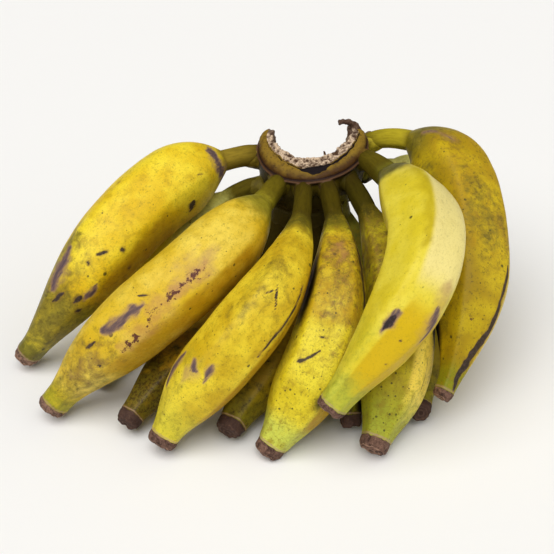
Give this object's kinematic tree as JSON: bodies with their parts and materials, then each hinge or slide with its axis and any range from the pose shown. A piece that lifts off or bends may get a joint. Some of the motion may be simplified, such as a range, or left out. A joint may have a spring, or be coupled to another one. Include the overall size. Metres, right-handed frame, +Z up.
{
  "type": "plantain hand",
  "caption": "Hand of plantains: arched, ridged fingers in an outer and an inner row on one torn crown, standing like a claw with the dried tips down.",
  "frame": {"origin": "middle of the hand's box, on the surface that it stands on", "axes": "+Z up from the surface, +X along the hand's width to the right, -Y towards the front, where the tips are"},
  "size_m": [0.3046, 0.2266, 0.141],
  "materials": {
    "crown": "torn dry stalk tissue, rough and fibrous, with an olive skin round its outside",
    "skin_outer_1": "waxy satin fruit skin with dark specks, bruises and a dried brown tip",
    "skin_outer_2": "waxy satin fruit skin with dark specks, bruises and a dried brown tip",
    "skin_outer_3": "waxy satin fruit skin with dark specks, bruises and a dried brown tip",
    "skin_outer_4": "waxy satin fruit skin with dark specks, bruises and a dried brown tip",
    "skin_outer_5": "waxy satin fruit skin with dark specks, bruises and a dried brown tip",
    "skin_outer_6": "waxy satin fruit skin with dark specks, bruises and a dried brown tip",
    "skin_outer_7": "waxy satin fruit skin with dark specks, bruises and a dried brown tip",
    "skin_inner_1": "waxy satin fruit skin with dark specks, bruises and a dried brown tip",
    "skin_inner_2": "waxy satin fruit skin with dark specks, bruises and a dried brown tip",
    "skin_inner_3": "waxy satin fruit skin with dark specks, bruises and a dried brown tip",
    "skin_inner_4": "waxy satin fruit skin with dark specks, bruises and a dried brown tip",
    "skin_inner_5": "waxy satin fruit skin with dark specks, bruises and a dried brown tip"
  },
  "bodies": {
    "root": {"crown": "crown", "finger_outer_1": "skin_outer_1", "finger_outer_2": "skin_outer_2", "finger_outer_3": "skin_outer_3", "finger_outer_4": "skin_outer_4", "finger_outer_5": "skin_outer_5", "finger_outer_6": "skin_outer_6", "finger_outer_7": "skin_outer_7", "finger_inner_1": "skin_inner_1", "finger_inner_2": "skin_inner_2", "finger_inner_3": "skin_inner_3", "finger_inner_4": "skin_inner_4", "finger_inner_5": "skin_inner_5"}
  },
  "joints": []
}
